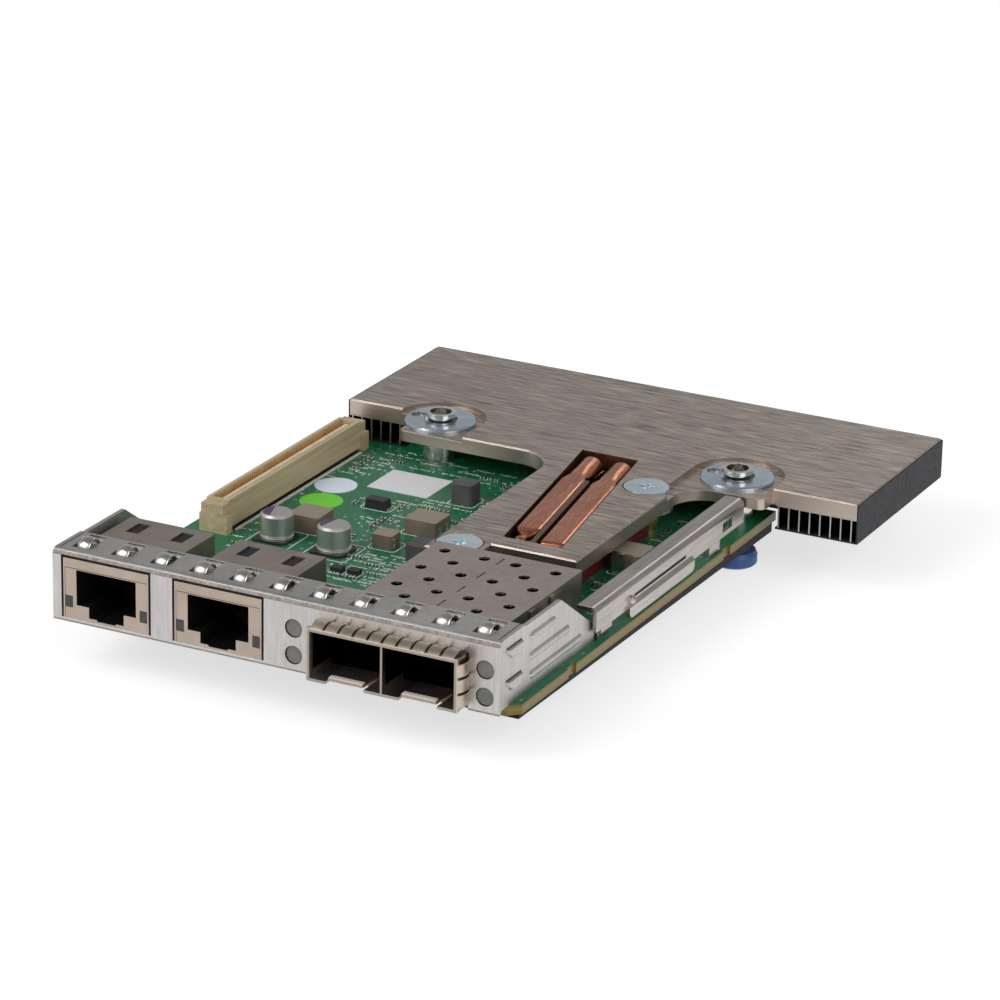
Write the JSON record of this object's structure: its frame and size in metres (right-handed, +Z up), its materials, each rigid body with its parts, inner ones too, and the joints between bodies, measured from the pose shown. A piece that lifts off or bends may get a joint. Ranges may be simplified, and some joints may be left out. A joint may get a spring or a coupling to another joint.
{
  "type": "mezzanine network card",
  "caption": "Flat network card with modular jacks and a transceiver cage on a bent faceplate, a brushed heat-pipe cooler with fins behind, and captive screws that push and turn.",
  "frame": {"origin": "centre of the bounding box in X and Y, at the lowest point, the knobs' ends", "axes": "+X to the right along the faceplate seen from its front, +Y back from the faceplate to the fins, +Z up from the board's component side"},
  "size_m": [0.1134, 0.149, 0.0238],
  "materials": {
    "board": "green solder mask, semi-gloss",
    "film": "black film, satin",
    "plated_sheet": "plated sheet, satin",
    "spring_strip": "bright",
    "light_pipe": "milky",
    "tin_cage": "tin plate, satin",
    "tan_plastic": "matt",
    "contact_gold": "bright",
    "brushed_plate": "brushed along the long side",
    "fin_sheet": "mill",
    "copper": "drawn copper, satin",
    "zinc": "blue zinc",
    "nickel": "bright",
    "brass_post": "turned",
    "chip": "matt",
    "pad": "soft",
    "red_frame": "matt",
    "rail_sheet": "plated sheet, satin",
    "can": "bright",
    "black_plastic": "matt",
    "ferrite": "matt",
    "solder_lead": "tinned",
    "ceramic": "ceramic",
    "paper_white": "paper",
    "paper_green": "paper",
    "lamp": "milky",
    "blue_knob": "gloss",
    "spring_wire": "drawn wire"
  },
  "bodies": {
    "card": {"circuit_board": "board", "underside_film": "film", "faceplate": "plated_sheet", "emi_finger_strip": "spring_strip", "status_light_pipes": "light_pipe", "sfp_cage": "tin_cage", "sfp_gasket": "spring_strip", "mezz_housing": "tan_plastic", "mezz_contacts": "contact_gold", "heat_sink_plate": "brushed_plate", "heat_sink_fins": "fin_sheet", "fin_wrap": "film", "heat_pipe_left": "copper", "heat_pipe_right": "copper", "plate_screws": "zinc", "plate_posts": "brass_post", "controller_chip": "chip", "thermal_pad": "pad", "chip_frame": "red_frame", "guide_rail": "rail_sheet", "capacitor_cans": "can", "capacitor_bases": "black_plastic", "large_inductor": "ferrite", "tall_inductor": "ferrite", "flat_inductor": "ferrite", "small_inductor": "ferrite", "near_inductor": "ferrite", "side_inductor": "ferrite", "diode_body": "black_plastic", "diode_leads": "solder_lead", "small_regulators": "black_plastic", "chip_passives": "ceramic", "board_label": "paper_white", "white_sticker": "paper_white", "green_sticker": "paper_green", "sfp_connector_left": "black_plastic", "sfp_connector_right": "black_plastic", "jack_shield_left": "plated_sheet", "jack_housing_left": "black_plastic", "jack_contacts_left": "contact_gold", "jack_lamps_left": "lamp", "captive_sleeve_left": "nickel", "captive_washer_left": "zinc", "captive_collar_left": "black_plastic", "jack_shield_right": "plated_sheet", "jack_housing_right": "black_plastic", "jack_contacts_right": "contact_gold", "jack_lamps_right": "lamp", "captive_sleeve_right": "nickel", "captive_washer_right": "zinc", "captive_collar_right": "black_plastic"},
    "spring_left": {"captive_spring_left": "spring_wire"},
    "screw_left": {"captive_screw_left": "solder_lead", "captive_knob_left": "blue_knob"},
    "spring_right": {"captive_spring_right": "spring_wire"},
    "screw_right": {"captive_screw_right": "solder_lead", "captive_knob_right": "blue_knob"}
  },
  "joints": [
    {"name": "captive_slide_left", "type": "slide", "parent": "card", "child": "spring_left", "axis": [0, 0, 1], "range_m": [0, 0.0023], "stiffness_N_per_m": 1500, "springref_m": -0.003, "deforming": ["captive_spring_left"]},
    {"name": "captive_turn_left", "type": "hinge", "parent": "spring_left", "child": "screw_left", "pos_m": [-0.0334, 0.0363, 0.0049], "axis": [0, 0, 1], "continuous": true},
    {"name": "captive_slide_right", "type": "slide", "parent": "card", "child": "spring_right", "axis": [0, 0, 1], "range_m": [0, 0.0023], "stiffness_N_per_m": 1500, "springref_m": -0.003, "deforming": ["captive_spring_right"]},
    {"name": "captive_turn_right", "type": "hinge", "parent": "spring_right", "child": "screw_right", "pos_m": [0.0302, 0.0363, 0.0049], "axis": [0, 0, 1], "continuous": true}
  ]
}
